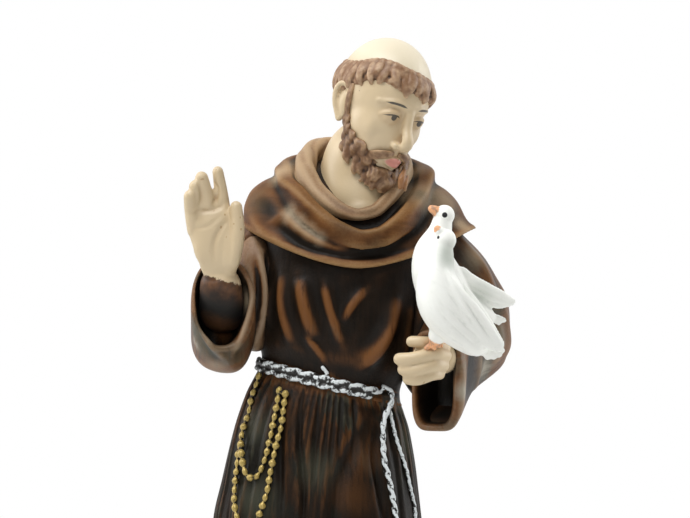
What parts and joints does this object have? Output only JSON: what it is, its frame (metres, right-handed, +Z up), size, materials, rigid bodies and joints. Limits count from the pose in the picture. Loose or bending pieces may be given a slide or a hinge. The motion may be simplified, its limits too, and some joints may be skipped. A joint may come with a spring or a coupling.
{
  "type": "saint francis statue",
  "caption": "Painted resin figurine of Saint Francis in a brown habit, a hand raised in blessing and white doves perched on the other, on a low base.",
  "frame": {"origin": "centre of the base's flat underside", "axes": "+Z up along the figure, -Y the way the figure faces, +X to the figure's left"},
  "size_m": [0.1018, 0.0935, 0.2993],
  "materials": {
    "habit": "satin",
    "skin": "satin",
    "hair": "matte",
    "dove_white": "matte",
    "cord_white": "matte",
    "bead_gold": "satin",
    "ground": "matte"
  },
  "bodies": {
    "root": {"saint_francis_figurine": "habit"}
  },
  "joints": []
}
